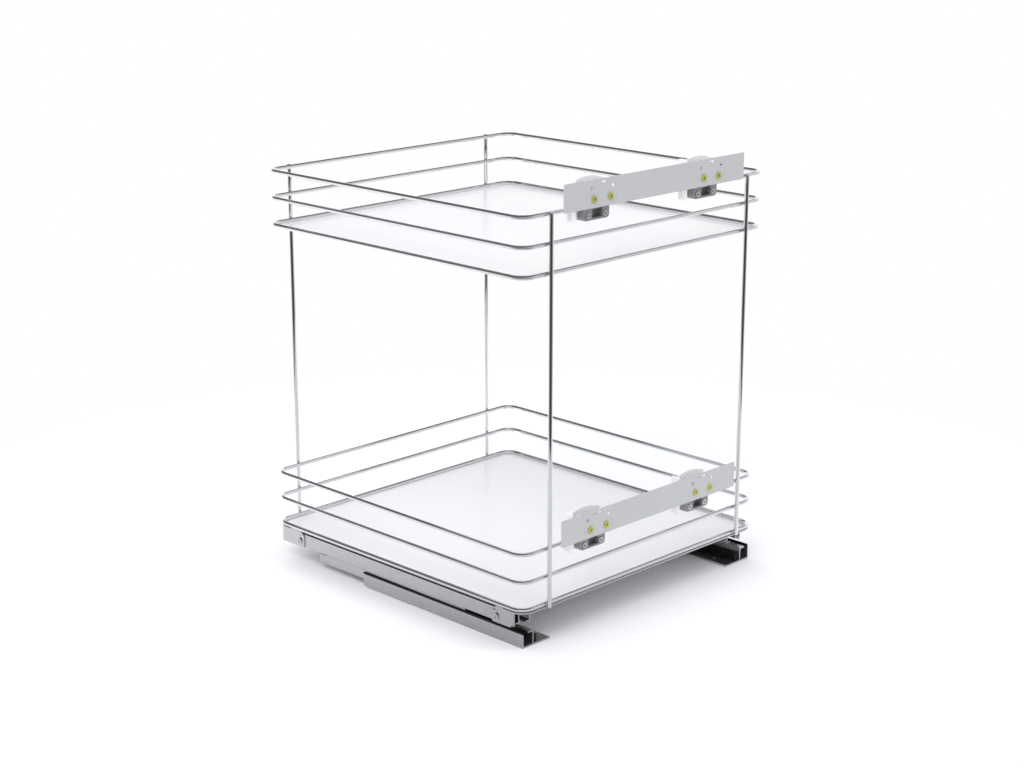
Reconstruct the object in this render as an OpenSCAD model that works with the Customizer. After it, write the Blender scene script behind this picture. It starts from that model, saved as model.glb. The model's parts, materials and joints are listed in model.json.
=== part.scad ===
// Two-tier pull-out wire basket for a floor cabinet, on a pair of full-extension floor runners.
// X runs across the cabinet, the cabinet door is at -Y, and Z = 0 is the cabinet floor.

/* [Baskets] */
// Width over the rim wires
basket_w = 459.4; // [420:0.2:560]
// Depth over the rim wires
basket_d = 481; // [470:0.5:520]
// Corner radius at the middle of the wire
corner_r = 18; // [12:1:30]
// Height of the base plates' underside above the floor
base_z = 45.2; // [45.2:0.2:60]
// Thickness of the base plates under the lower rim
base_plate_t = 1.8; // [1.2:0.1:2.5]
// Reach of the front base plate back from the rim's outer face
front_base_l = 35.5; // [30:0.5:40]
// Reach of the rear base plate forward from the rim's outer face
rear_base_l = 28.5; // [24:0.5:36]
// Height from the lower shelf to the upper shelf
tier_gap = 420; // [260:5:520]
// Thickness of the shelf sheets
shelf_t = 1; // [0.6:0.1:1.6]
// How far the base plates' edges stand back from the rim wires' outer face
base_inset = 0.3; // [0.2:0.1:1]
// Diameter of the stiffening wires under the shelf sheets
stiffener_d = 4; // [3:0.5:5]
// Number of stiffening wires under each sheet
stiffener_count = 3; // [1:1:5]
// Height steps between rim, middle rail and top rail
rail_pitch = 36.3; // [24:0.1:45]
// Rim wire diameter
rim_d = 6; // [4:0.5:8]
// Diameter of the middle and top rail wires
rail_d = 5.5; // [4:0.5:6]
// Post diameter
post_d = 6; // [4:0.5:8]
// From the rim wire's middle at the side to a post's middle
post_inset = 42; // [30:1:60]
// Height of a post's foot above the base plates' underside
post_foot = 1; // [0.5:0.1:1.5]
// Gap left where wires meet and are welded
weld_gap = 0.05; // [0.02:0.01:0.1]

/* [Front plates] */
// Height of a front plate
plate_h = 34.5; // [32:0.5:45]
// Thickness of a front plate
plate_t = 1.5; // [1:0.1:2]
// Corner radius of a front plate
plate_r = 1.5; // [1:0.5:6]
// From a front plate's end to the post beside it
plate_side_gap = 12.7; // [8:0.1:40]
// How far a plate's lower edge hangs below the top rail's middle
plate_drop = 0.5; // [0:0.1:1.5]
// From a plate's end to the middle of the unit that carries it
unit_in = 66.5; // [65:0.5:80]
// Diameter of the door screw holes
door_hole_d = 5; // [3:0.5:6]
// Distance between the two door screw holes of a unit
door_hole_pitch = 40; // [38:0.5:42]
// Height of the door screw holes above the top rail's middle
door_hole_z = 23.7; // [22.5:0.1:24]
// Length of the sighting slot in a plate
slot_l = 18; // [12:1:24]
// Height of the sighting slot
slot_h = 2.2; // [1.5:0.1:2.6]
// Height of the sighting slot above the top rail's middle
slot_z = 29.7; // [29:0.1:30]
// Height of a stamped mark beside a screw
mark_h = 8; // [4:0.5:9]
// Depth of the stamped marks
mark_depth = 0.3; // [0.1:0.1:0.5]

/* [Adjusters] */
// Travel of each adjuster either way
adjust = 1.5; // [1:0.1:1.6]
// Thickness of an adjuster slide
slide_t = 1.3; // [1:0.1:2]
// Width of an adjuster slide
slide_w = 46; // [44:1:50]
// Gap between the flat faces that slide on each other
face_gap = 0.1; // [0.05:0.01:0.2]
// Distance between the two adjusting screws of a unit
screw_pitch = 29.2; // [27:0.1:30]
// Height of the adjusting screws above the top rail's middle
screw_z = 10.4; // [9:0.1:11]
// Head diameter of an adjusting screw
screw_head_d = 8.8; // [8.2:0.1:9.2]
// Head height of an adjusting screw
screw_head_h = 1.6; // [1.2:0.1:3]
// Neck diameter of an adjusting screw
screw_neck_d = 4.5; // [4.2:0.1:4.8]
// Diameter of the off-centre pin on an adjusting screw
screw_pin_d = 3; // [2:0.1:3]
// Play of the off-centre pin in its slot
pin_play = 0.35; // [0.35:0.01:0.5]
// Play of a screw neck in its bore
neck_play = 0.05; // [0.02:0.01:0.1]

/* [Clamps] */
// Width of a clamp block
clamp_w = 46; // [44:0.5:50]
// How far a clamp block reaches below the top rail's middle
clamp_drop = 16.3; // [15.5:0.1:20]
// How far a clamp block stands in front of the top rail's middle
clamp_front = 7; // [6.5:0.1:7.2]
// Height of a clamp block above the top rail's middle
clamp_rise = 6; // [3:0.5:7]
// Sideways shift of a clamp block from the middle of its unit
clamp_shift = -5; // [-6:0.5:-4]
// Distance between the two screws of a clamp block
clamp_screw_pitch = 30; // [28:0.5:31]
// Depth of the clamp screws below the top rail's middle
clamp_screw_z = 10.1; // [9:0.1:10.6]
// Shank diameter of a clamp screw
clamp_screw_d = 4; // [3:0.5:5]
// Head diameter of a clamp screw
clamp_head_d = 7.4; // [6:0.1:8]
// Width of the pocket between the clamp screws
pocket_w = 18; // [12:1:20]
// Radius of the boss round each clamp screw
boss_r = 5.4; // [4.8:0.1:5.8]
// Width of a carrier
carrier_w = 65; // [62:1:70]
// Reach of a carrier to the left of its unit's middle
carrier_left = 45; // [40:1:48]
// Sheet thickness of a carrier
carrier_t = 1.5; // [1:0.1:1.8]
// How far a carrier hangs below the top rail's middle
carrier_drop = 15.4; // [14:0.1:18]
// Height of a carrier's arched top above the top rail's middle
carrier_rise = 36.6; // [36:0.1:38]
// Radius of that arch
arch_r = 70; // [60:1:90]
// Height of the flange at a carrier's left end above the top rail's middle
ear_rise = 37; // [34:0.1:40]
// Gap between the top rail wire and what grips it
grip_gap = 0.1; // [0.05:0.05:0.3]

/* [Cabinet rails] */
// Distance from the rim wires' outer face in to the runners
runner_inset = 6.1; // [3:0.1:12]
// Length of a cabinet rail
cabinet_l = 299; // [270:1:330]
// Distance from the rim's front face back to the cabinet rail
cabinet_setback = 5; // [0:0.5:10]
// Width over the two walls of the channel
channel_w = 19; // [19:0.1:21]
// Height of the outer wall
outer_wall_h = 18; // [16:0.1:18.5]
// Height of the inner wall
inner_wall_h = 20; // [20:0.1:20.5]
// Width of the lip on the inner wall
lip_w = 9.5; // [8:0.1:9.6]
// Width of the floor flange beside the channel
flange_w = 29.5; // [26:0.5:40]
// Sheet thickness of the runners
rail_t = 1.5; // [1.2:0.1:1.5]
// Thickness of the floor plate
base_t = 2; // [1.5:0.1:2]
// Diameter of the floor screw holes
floor_hole_d = 5; // [4:0.5:6]
// From the channel to the row of floor screw holes
floor_hole_in = 18; // [14:0.5:22]
// From the rail's front to the first floor screw hole
floor_hole_first = 30; // [24:1:40]
// From the first floor screw hole to the other
floor_hole_far = 224; // [160:32:256]
// Diameter of the two small holes at the flange's front
pilot_d = 3; // [2:0.5:4]
// Distance between the two small holes
pilot_pitch = 8; // [6:0.5:12]
// Length of the shallow relief under the outer wall
relief_l = 124; // [60:1:160]
// From the rail's front to that relief
relief_first = 84; // [60:1:90]
// Height of that relief
relief_h = 1; // [0.5:0.1:1.5]
// Size of the slanted cut at the rear lower corner
heel_cut = 7; // [3:1:12]

/* [Intermediate rails] */
// Length of an intermediate rail
intermediate_l = 287; // [280:1:300]
// Distance from the rim's front face back to the intermediate rail
intermediate_setback = 110.5; // [100:0.5:115]
// Height of its underside above the floor
intermediate_z = 9.4; // [9.4:0.1:9.6]
// Height of its lower section's top above the floor
intermediate_top = 23; // [22.9:0.1:23.4]
// Sideways play between its wall and the cabinet rail's wall
wall_play = 0.9; // [0.7:0.1:1.2]
// Width of its lower flange
foot_w = 12.1; // [11.5:0.1:12.4]
// From the runner's outer face to its upstand
upstand_in = 17; // [16.5:0.1:17.2]
// Width of its head flange
head_w = 8; // [7:0.1:8]
// Height of its head above the floor
head_z = 34.8; // [34:0.1:35.4]
// Length of the notch at its rear end
notch_l = 16; // [8:1:20]

/* [Drawer rails] */
// Distance from the rim's front face back to the drawer rail
skirt_setback = 20.5; // [16:0.5:30]
// Distance from the rim's rear face forward to the drawer rail's end
skirt_rear_setback = 9.3; // [5:0.1:15]
// Height of the skirt's lower edge above the floor
skirt_z = 24.5; // [24:0.1:25]
// Gap between the skirt's upper edge and the base plates
skirt_slit = 3.2; // [2:0.1:4]
// Length of a front bracket
front_bracket_l = 37; // [35:0.5:48]
// Length of a front bracket's upper part, up to the base plate
front_flange_l = 31; // [28:0.5:33]
// Length of a rear bracket
rear_bracket_l = 45.5; // [40:0.5:50]
// How far the brackets reach below the skirt
bracket_drop = 1.5; // [0.5:0.1:1.5]
// Thickness of the brackets
bracket_t = 1.4; // [1:0.1:1.6]
// Size of the cut at a front bracket's lower corner
toe_cut = 5; // [2:0.5:6]
// Radius of a rear bracket's upper front corner
bracket_r = 9; // [4:0.5:12]
// Gap between a bracket and the skirt behind it
seam_gap = 0.05; // [0.05:0.01:0.1]
// From the runner's outer face to the drawer rail's middle wall
mid_wall_in = 8; // [7.5:0.1:8.5]
// Width over the drawer rail, from the middle wall to the inner wall
hat_w = 20.6; // [20.2:0.1:21.5]
// Height of the inner wall's lower edge above the floor
hat_foot_z = 25; // [24.8:0.1:25.2]
// Width of the lip at that edge
hat_lip_w = 8.1; // [7:0.1:8.4]
// Height of the middle wall's lower edge above the floor
web_z = 27.2; // [26.5:0.1:27.4]
// Height of the bracket screws above the floor
bracket_screw_z = 31; // [30.9:0.1:31.4]
// From a front bracket's outer end to its screw
front_screw_in = 30; // [26:0.5:30.5]
// From a rear bracket's outer end to its screw
rear_screw_in = 36.5; // [32:0.5:36.5]
// Shank diameter of the bracket screws
bracket_screw_d = 4; // [3:0.1:4]
// Head diameter of the bracket screws
bracket_head_d = 9; // [7:0.1:9]
// Head height of the bracket screws
bracket_head_h = 1.6; // [1:0.1:2]
// Shank diameter of the rivets that hold the base plates
rivet_d = 3; // [2:0.1:3]
// Head diameter of those rivets
rivet_head_d = 5; // [4:0.1:5.4]

/* [Rollers] */
// Extension of the runners
travel = 450; // [400:5:460]
// Running gap between a roller and its track
roller_gap = 0.1; // [0.05:0.01:0.1]
// Gap between a roller and its cage
cage_gap = 0.2; // [0.1:0.05:0.3]
// Distance kept between a cage and the end of its track
cage_margin = 4; // [2:0.5:10]
// Thickness of the roller cages
cage_t = 2.6; // [2:0.1:2.6]
// Distance between rollers
roller_pitch = 24; // [18:1:40]
// Length of the lower load rollers
lower_roller_l = 8; // [6:0.1:8]
// Length of the lower hold-down rollers
hold_roller_l = 4.5; // [3:0.1:4.6]
// Length of the upper load rollers
upper_roller_l = 7; // [5:0.1:7]
// Length of the upper hold-down rollers
upper_hold_l = 3; // [2:0.1:3]

/* [Dampers] */
// Length of a damper housing
damper_l = 133; // [120:1:150]
// Width of a damper housing
damper_w = 7.6; // [7:0.1:8]
// Height of a damper housing above the floor plate
damper_h = 10; // [8:0.1:11]
// From the cabinet rail's front to the damper housing
damper_setback = 2; // [1:0.5:8]
// Stroke of the damper catch
damper_stroke = 50; // [30:1:80]
// Length of the damper catch
catch_l = 12; // [8:0.5:14]
// Height of the damper catch's top above the floor
catch_z = 23.3; // [21:0.1:23.6]
// Gap between the damper catch and the hook that pushes it
hook_gap = 0.3; // [0.2:0.1:0.6]

/* [Hidden] */
$fn = 48;
eps = 0.01;

LEFT = 0;
RIGHT = 1;

// Heights of the wires: the rim stands on the base plates, and the rails follow at one pitch
base_top = base_z + base_plate_t;
rim_z = base_top + weld_gap + rim_d / 2;
middle_z = rim_z + rail_pitch;
top_z = rim_z + 2 * rail_pitch;
post_top = top_z + tier_gap + rail_d / 2;

// The rails' outer faces are flush with the rim's, so each tier's wires meet the posts alike
post_x = basket_w / 2 - rim_d / 2 - post_inset;
post_y = basket_d / 2 + weld_gap + post_d / 2;
rail_front = basket_d / 2 - rail_d / 2;

// Distances in front of the top rail's middle, from the wire outwards to the plate's face
web_clear = 0.4;
web_back = clamp_front + web_clear;
web_front = web_back + carrier_t;
slide_back = web_front + face_gap;
slide_front = slide_back + slide_t;
plate_back = slide_front + face_gap;
plate_front = plate_back + plate_t;
plate_w = 2 * (post_x - post_d / 2 - plate_side_gap);
unit_x = plate_w / 2 - unit_in;

// The whole object is centred on the origin from the screw heads to the rear posts
ring_y = (rail_front + plate_front + screw_head_h - post_y - post_d / 2) / 2;

// Places along the runners, measured from the middle of the rings
front_face = -basket_d / 2;
cabinet_y0 = front_face + cabinet_setback;
cabinet_y1 = cabinet_y0 + cabinet_l;
intermediate_y0 = front_face + intermediate_setback;
intermediate_y1 = intermediate_y0 + intermediate_l;
skirt_y0 = front_face + skirt_setback;
skirt_y1 = basket_d / 2 - skirt_rear_setback;
front_bracket_y1 = skirt_y0 + front_bracket_l;
rear_bracket_y0 = skirt_y1 - rear_bracket_l;
front_base_y1 = front_face + front_base_l;
rear_base_y0 = basket_d / 2 - rear_base_l;
runner_x = basket_w / 2 - runner_inset;

// Each cage stays on both of its tracks from closed to fully open
lower_cage_y0 = max(cabinet_y0 + travel / 4, intermediate_y0) + cage_margin;
lower_cage_y1 = min(cabinet_y1, intermediate_y1 - travel / 4) - cage_margin;
upper_cage_y0 = intermediate_y0 + travel / 4 + cage_margin;
upper_cage_y1 = min(intermediate_y1, skirt_y1 - travel / 4) - cage_margin;

// Heights of the tracks that the rollers run on
lip_under = inner_wall_h - rail_t;
foot_top = intermediate_z + rail_t;
skirt_top = base_z - skirt_slit;

// Diameters that fill the tracks, less the running gaps
lower_roller_d = intermediate_z - base_t - 2 * roller_gap;
hold_roller_d = lip_under - foot_top - 2 * roller_gap;
upper_roller_d = base_z - head_z - 2 * roller_gap;
upper_hold_d = head_z - 2 * rail_t - hat_foot_z - 2 * roller_gap;

// Sideways places in the runner, from its outer face inwards
channel_in = channel_w - rail_t;
lip_in = channel_w - lip_w;
inter_wall = rail_t + wall_play;
head_in = upstand_in + head_w;
hat_in = mid_wall_in + hat_w;
hat_lip_in = hat_in - hat_lip_w;
damper_in = channel_w + cage_gap;

// The damper catch waits near the rear end of its housing
catch_rest = 6;
catch_y1 = cabinet_y0 + damper_setback + damper_l - catch_rest;
catch_y0 = catch_y1 - catch_l;
hook_y1 = catch_y0 - hook_gap;

// Sheet outlines are drawn flat and pulled along an axis
module along_y(y0, y1) {
    translate([0, y1, 0])
        rotate([90, 0, 0])
            linear_extrude(y1 - y0)
                children();
}

module along_x(x0, x1) {
    translate([x0, 0, 0])
        rotate([90, 0, 90])
            linear_extrude(x1 - x0)
                children();
}

module rect(x0, y0, x1, y1) {
    translate([x0, y0])
        square([x1 - x0, y1 - y0]);
}

module rounded_rect(x0, y0, x1, y1, r) {
    rect(x0 + r, y0, x1 - r, y1);
    rect(x0, y0 + r, x1, y1 - r);
    for (x = [x0 + r, x1 - r], y = [y0 + r, y1 - r])
        translate([x, y])
            circle(r = r);
}

module bar(x0, y0, z0, x1, y1, z1) {
    translate([x0, y0, z0])
        cube([x1 - x0, y1 - y0, z1 - z0]);
}

// A rod along Y that starts at the front face y0
module rod_y(y0, y1, d) {
    translate([0, y1, 0])
        rotate([90, 0, 0])
            cylinder(h = y1 - y0, d = d);
}

// A roller along X, between two sideways places
module rod_x(x0, x1, d) {
    translate([x0, 0, 0])
        rotate([0, 90, 0])
            cylinder(h = x1 - x0, d = d);
}

// One closed wire ring, bent round four corners
module wire_ring(wire_d) {
    w = basket_w - wire_d;
    d = basket_d - wire_d;
    for (side = [-1, 1]) {
        translate([side * w / 2, 0, 0])
            rotate([90, 0, 0])
                cylinder(h = d - 2 * corner_r, d = wire_d, center = true);
        translate([0, side * d / 2, 0])
            rotate([0, 90, 0])
                cylinder(h = w - 2 * corner_r, d = wire_d, center = true);
    }
    for (turn = [0 : 3]) {
        swap = turn % 2;
        reach_x = (swap == 0 ? w : d) / 2 - corner_r;
        reach_y = (swap == 0 ? d : w) / 2 - corner_r;
        rotate([0, 0, 90 * turn])
            translate([reach_x, reach_y, 0])
                rotate_extrude(angle = 90)
                    translate([corner_r, 0])
                        circle(d = wire_d);
    }
}

module ring_at(z, wire_d) {
    color("gainsboro")
        translate([0, ring_y, z])
            wire_ring(wire_d);
}

// A shelf sheet lies inside its rim, level with the rim's underside, and is welded along its edge
rim_chord = sqrt(pow(rim_d / 2, 2) - pow(rim_d / 2 - shelf_t, 2));
shelf_edge = rim_d / 2 + rim_chord + weld_gap;

module shelf_at(z) {
    half_w = basket_w / 2 - shelf_edge;
    half_d = basket_d / 2 - shelf_edge;
    color("white")
        translate([0, ring_y, z - rim_d / 2])
            linear_extrude(shelf_t)
                rounded_rect(-half_w, -half_d, half_w, half_d, corner_r + rim_d / 2 - shelf_edge);
}

// Stiffening wires run across under the sheet, between the drawer rails
stiffener_end = 2;
stiffener_half = runner_x - hat_in - stiffener_end;

module shelf_stiffeners() {
    step = basket_d / (stiffener_count + 1);
    under = rim_z - rim_d / 2 - weld_gap - stiffener_d / 2;
    color("gainsboro")
        for (z = [under, under + tier_gap], i = [1 : stiffener_count])
            translate([0, ring_y - basket_d / 2 + i * step, z])
                rod_x(-stiffener_half, stiffener_half, stiffener_d);
}

// Base plates close the drawer rails' ends, with the rim's outline. They are riveted to the brackets
rivet_in = 4.6;
rivet_set = 8;
rivet_skin = 0.5;
rivet_head_h = 1;
rivet_front = front_base_y1 - rivet_set;
rivet_rear = rear_base_y0 + rivet_set;
rivet_bite = base_plate_t - rivet_skin;

module base_plate(y0, y1) {
    half_w = basket_w / 2 - base_inset;
    half_d = basket_d / 2 - base_inset;
    color("silver")
        translate([0, ring_y, base_z])
            difference() {
                linear_extrude(base_plate_t)
                    intersection() {
                        rounded_rect(-half_w, -half_d, half_w, half_d, corner_r + rim_d / 2 - base_inset);
                        rect(-half_w, y0, half_w, y1);
                    }
                for (side = [-1, 1], y = [rivet_front, rivet_rear])
                    translate([side * (runner_x - rivet_in), y, -eps])
                        cylinder(h = rivet_bite + eps, d = rivet_d + 2 * weld_gap);
            }
}

module post(side, end) {
    color("silver")
        translate([side * post_x, ring_y + end * post_y, base_z + post_foot])
            cylinder(h = post_top - base_z - post_foot, d = post_d);
}

// The front plates, their carriers and clamps repeat at two heights and two places
module at_unit(side, tier) {
    translate([side * unit_x, ring_y - rail_front, top_z + tier * tier_gap])
        children();
}

side_screw_x = -screw_pitch / 2;
height_screw_x = screw_pitch / 2;
slot_shift = -1.5;
mark_w = 1;
mark_left = -26.5;
mark_right = 24.5;
pin_slot = screw_pin_d / 2 + pin_play;
driver_d = 6;

// A slot for an off-centre pin: short across, and long the way that the pin swings
module pin_slot_shape() {
    for (end = [0, adjust])
        translate([end, 0])
            circle(r = pin_slot);
    rect(0, -pin_slot, adjust, pin_slot);
}

module plate_holes() {
    neck = screw_neck_d / 2 + neck_play;
    for (end = [-adjust, adjust])
        translate([side_screw_x, screw_z + end])
            circle(r = neck);
    rect(side_screw_x - neck, screw_z - adjust, side_screw_x + neck, screw_z + adjust);
    translate([height_screw_x, screw_z])
        circle(r = neck);
    for (end = [-1, 1])
        translate([end * door_hole_pitch / 2, door_hole_z])
            circle(d = door_hole_d);
    rounded_rect(slot_shift - slot_l / 2, slot_z - slot_h / 2,
        slot_shift + slot_l / 2, slot_z + slot_h / 2, slot_h / 2 - eps);
}

module plate_marks() {
    for (x = [mark_left, mark_right])
        rect(x - mark_w / 2, screw_z - mark_h / 2, x + mark_w / 2, screw_z + mark_h / 2);
}

module front_plate(tier) {
    color("lightgray")
        difference() {
            translate([0, ring_y - rail_front, top_z + tier * tier_gap])
                along_y(-plate_front, -plate_back)
                    rounded_rect(-plate_w / 2, -plate_drop, plate_w / 2, plate_h - plate_drop, plate_r);
            for (side = [-1, 1])
                at_unit(side, tier) {
                    along_y(-plate_front - eps, -plate_back + eps)
                        plate_holes();
                    along_y(-plate_front - eps, -plate_front + mark_depth)
                        plate_marks();
                }
        }
}

// Behind each unit a slide moves sideways on the carrier, and the plate moves up and down on it
slide_low = 2;
slide_high = 18;
sheet_r = 2;

module adjuster_slide() {
    along_y(-slide_front, -slide_back)
        difference() {
            rounded_rect(-slide_w / 2, slide_low, slide_w / 2, slide_high, sheet_r);
            translate([side_screw_x, screw_z])
                circle(d = screw_neck_d + 2 * neck_play);
            translate([height_screw_x, screw_z])
                pin_slot_shape();
        }
}

module adjuster_slides(tier) {
    color("gray")
        for (side = [-1, 1])
            at_unit(side, tier)
                adjuster_slide();
}

// A screw with a cross in its head, a neck in its bore and an off-centre pin
cross_w = 1.2;
cross_l = 4.6;
cross_depth = 1.4;

module adjusting_screw(neck_end, pin_end, pin_x, pin_z) {
    head = plate_front + screw_head_h;
    pin_start = neck_end - face_gap / 2;
    translate([0, 0, screw_z])
        difference() {
            union() {
                rod_y(-head, -plate_front, screw_head_d);
                rod_y(-plate_front, -pin_start, screw_neck_d);
                translate([pin_x, 0, pin_z])
                    rod_y(-pin_start, -pin_end, screw_pin_d);
            }
            for (turn = [0, 90])
                rotate([0, turn + 45, 0])
                    bar(-cross_l / 2, -head - eps, -cross_w / 2,
                        cross_l / 2, -head + cross_depth, cross_w / 2);
        }
}

// The side screw turns in the slide, and its pin stands in the carrier's slot
module side_screw(side, tier) {
    color("darkkhaki")
        at_unit(side, tier)
            translate([side_screw_x, 0, 0])
                adjusting_screw(slide_back, web_back, 0, adjust);
}

// The height screw turns in the plate, and its pin stands in the slide's slot
module height_screw(side, tier) {
    color("darkkhaki")
        at_unit(side, tier)
            translate([height_screw_x, 0, 0])
                adjusting_screw(plate_back, slide_back, adjust, 0);
}

// The carrier is one bent sheet: a back behind the wire, a flange at its left end and a web in front
arch_x = -10;
web_low = 1.5;
carrier_right = carrier_w - carrier_left;
block_gap = 0.1;
carrier_back = rail_d / 2 + 2 * grip_gap + block_gap;
clamp_screw_left = clamp_shift - clamp_screw_pitch / 2;
clamp_screw_right = clamp_shift + clamp_screw_pitch / 2;

module carrier_back_shape() {
    difference() {
        intersection() {
            rounded_rect(-carrier_left, -carrier_drop, carrier_right, carrier_rise + sheet_r, sheet_r);
            translate([arch_x, carrier_rise - arch_r])
                circle(r = arch_r);
        }
        for (end = [-1, 1])
            translate([end * door_hole_pitch / 2, door_hole_z])
                circle(d = driver_d + 2 * adjust);
        for (x = [clamp_screw_left, clamp_screw_right])
            translate([x, -clamp_screw_z])
                circle(d = clamp_screw_d + 2 * weld_gap);
    }
}

module carrier_web_shape() {
    difference() {
        rect(-carrier_left, web_low, carrier_right, slide_high);
        translate([side_screw_x, screw_z])
            rotate(90)
                pin_slot_shape();
    }
}

module carrier(side, tier) {
    notch = rail_d / 2 + grip_gap;
    color("whitesmoke")
        at_unit(side, tier) {
            along_y(carrier_back, carrier_back + carrier_t)
                carrier_back_shape();
            along_y(-web_front, -web_back)
                carrier_web_shape();
            difference() {
                along_x(-carrier_left, -carrier_left + carrier_t)
                    rounded_rect(-web_front, -carrier_drop, carrier_back + carrier_t, ear_rise, sheet_r);
                rod_x(-carrier_left - eps, -carrier_left + carrier_t + eps, 2 * notch);
                bar(-carrier_left - eps, -notch, -carrier_drop - eps,
                    -carrier_left + carrier_t + eps, notch, 0);
            }
        }
}

// The die-cast block grips the top rail from the front and below, and its pocket is deeper under the wire
clamp_r = 5;
block_back = carrier_back - block_gap;
pocket_floor = 1;
pocket_low = 2.4;
pocket_shift = 1.4;
head_recess = 1.6;
head_room = 1;

module clamp_pocket(y1, top) {
    middle = clamp_shift + pocket_shift;
    along_y(-clamp_front - eps, y1)
        difference() {
            rect(middle - pocket_w / 2, pocket_low - clamp_drop, middle + pocket_w / 2, top);
            for (x = [clamp_screw_left, clamp_screw_right])
                translate([x, -clamp_screw_z])
                    circle(r = boss_r);
        }
}

module clamp_block(side, tier) {
    groove = rail_d / 2 + grip_gap;
    left = clamp_shift - clamp_w / 2;
    right = clamp_shift + clamp_w / 2;
    color("dimgray")
        at_unit(side, tier)
            difference() {
                along_y(-clamp_front, block_back)
                    rounded_rect(left, -clamp_drop, right, clamp_rise, clamp_r);
                rod_x(left - eps, right + eps, 2 * groove);
                bar(left - eps, -groove, 0, right + eps, block_back + eps, clamp_rise + eps);
                clamp_pocket(-groove - pocket_floor, clamp_rise + eps);
                clamp_pocket(block_back - pocket_floor, -groove - pocket_floor);
                for (x = [clamp_screw_left, clamp_screw_right])
                    translate([x, 0, -clamp_screw_z]) {
                        rod_y(-clamp_front - eps, block_back + eps, clamp_screw_d + 2 * weld_gap);
                        rod_y(-clamp_front - eps, -clamp_front + head_recess, clamp_head_d + head_room);
                    }
            }
}

clamp_head_h = 2.4;
socket_d = 3.4;
socket_depth = 1.5;
clamp_screw_end = 1;

module clamp_screws() {
    head_back = clamp_front - head_recess;
    color("silver")
        for (side = [-1, 1], tier = [0, 1])
            at_unit(side, tier)
                for (x = [clamp_screw_left, clamp_screw_right])
                    translate([x, 0, -clamp_screw_z])
                        difference() {
                            union() {
                                rod_y(-head_back - clamp_head_h, -head_back, clamp_head_d);
                                rod_y(-head_back, carrier_back + carrier_t + clamp_screw_end, clamp_screw_d);
                            }
                            translate([0, -head_back - clamp_head_h + socket_depth, 0])
                                rotate([90, 0, 0])
                                    cylinder(h = socket_depth + eps, d = socket_d, $fn = 6);
                        }
}

// A runner is drawn as the left one, from its outer face inwards, and mirrored for the right
module on_side(which) {
    mirror([which == RIGHT ? 1 : 0, 0, 0])
        translate([-runner_x, ring_y, 0])
            children();
}

// Cabinet rail: a channel with a lip, and a flange that is screwed to the cabinet floor
pilot_in = 11.5;
pilot_first = 4.5;

module cabinet_section() {
    rect(0, 0, rail_t, outer_wall_h);
    rect(0, 0, channel_w + flange_w, base_t);
    rect(channel_in, 0, channel_w, inner_wall_h);
    rect(lip_in, lip_under, channel_w, inner_wall_h);
}

module cabinet_rail(which) {
    relief_y0 = cabinet_y0 + relief_first;
    color("darkgray")
        on_side(which)
            difference() {
                along_y(cabinet_y0, cabinet_y1)
                    cabinet_section();
                bar(-eps, relief_y0, -eps, lip_in, relief_y0 + relief_l, relief_h);
                along_x(-eps, rail_t + eps)
                    polygon([
                        [cabinet_y1 - heel_cut, -eps],
                        [cabinet_y1 + eps, -eps],
                        [cabinet_y1 + eps, heel_cut / 2]
                    ]);
                for (y = [0, floor_hole_far])
                    translate([channel_w + floor_hole_in, cabinet_y0 + floor_hole_first + y, -eps])
                        cylinder(h = base_t + 2 * eps, d = floor_hole_d);
                for (y = [0, pilot_pitch])
                    translate([channel_w + pilot_in, cabinet_y0 + pilot_first + y, -eps])
                        cylinder(h = base_t + 2 * eps, d = pilot_d);
            }
}

// Intermediate rail: a C in the cabinet rail's channel, with an upstand and a head above it
module intermediate_section() {
    rect(inter_wall, intermediate_z, inter_wall + rail_t, intermediate_top);
    rect(inter_wall, intermediate_z, inter_wall + foot_w, foot_top);
    rect(inter_wall, intermediate_top - rail_t, upstand_in + rail_t, intermediate_top);
    rect(upstand_in, intermediate_top - rail_t, upstand_in + rail_t, head_z);
    rect(upstand_in, head_z - rail_t, head_in, head_z);
}

module intermediate_rail(which) {
    color("lightgray")
        on_side(which)
            difference() {
                along_y(intermediate_y0, intermediate_y1)
                    intermediate_section();
                bar(0, intermediate_y1 - notch_l, intermediate_top - rail_t,
                    upstand_in - rail_t, intermediate_y1 + eps, intermediate_top + eps);
            }
}

// Drawer rail: a skirt, a web and a hat section over the intermediate rail's head
hook_l = 10;
hook_z = 16;

module drawer_section() {
    rect(0, skirt_z, rail_t, skirt_top);
    rect(0, web_z, mid_wall_in + rail_t, web_z + rail_t);
    rect(mid_wall_in, web_z, mid_wall_in + rail_t, base_z);
    rect(hat_in - rail_t, hat_foot_z, hat_in, base_z);
    rect(hat_lip_in, hat_foot_z, hat_in, hat_foot_z + rail_t);
}

module at_bracket_screws() {
    for (y = [skirt_y0 + front_screw_in, skirt_y1 - rear_screw_in])
        translate([0, y, bracket_screw_z])
            children();
}

module drawer_rail(which) {
    color("silver")
        on_side(which) {
            difference() {
                along_y(skirt_y0, skirt_y1)
                    drawer_section();
                at_bracket_screws()
                    rod_x(-eps, mid_wall_in + rail_t + eps, bracket_screw_d + 2 * weld_gap);
            }
            bar(-bracket_t, front_base_y1 + cage_gap, base_z, hat_in, rear_base_y0 - cage_gap, base_top);
            bar(hat_lip_in, hook_y1 - hook_l, hook_z, hat_in - rail_t, hook_y1, hat_foot_z + eps);
        }
}

// Brackets: plates outside the skirt's ends, with a top flange under the base plates
flange_in = mid_wall_in - cage_gap;
bracket_low = skirt_z - bracket_drop;
flange_under = base_z - bracket_t;
front_flange_y1 = skirt_y0 + front_flange_l;
shoulder_drop = 3;

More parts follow.
